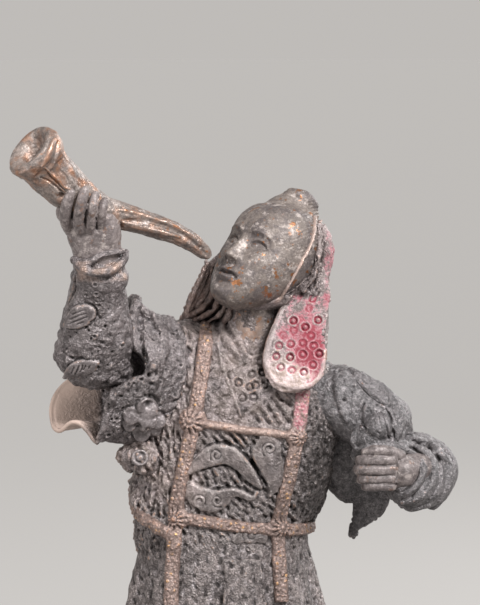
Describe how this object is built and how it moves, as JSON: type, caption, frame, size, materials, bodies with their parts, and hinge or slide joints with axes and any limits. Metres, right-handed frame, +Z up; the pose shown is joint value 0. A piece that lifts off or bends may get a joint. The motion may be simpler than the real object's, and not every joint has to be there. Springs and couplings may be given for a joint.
{
  "type": "bronze warrior statue",
  "caption": "Hollow-cast bronze figure of a standing warrior in a long belted coat and hood who blows a curved horn, on a low base.",
  "frame": {"origin": "centre of the base's underside", "axes": "+Z up to the horn's bell, -Y out of the figure's chest, +X to the figure's lowered arm"},
  "size_m": [0.2199, 0.1373, 0.4288],
  "materials": {
    "bronze": "dark dusty patina, rubbed to copper on raised edges, worn red paint on the hood",
    "base_bronze": "dark matt patina"
  },
  "bodies": {
    "root": {"figure": "bronze", "base": "base_bronze"}
  },
  "joints": []
}
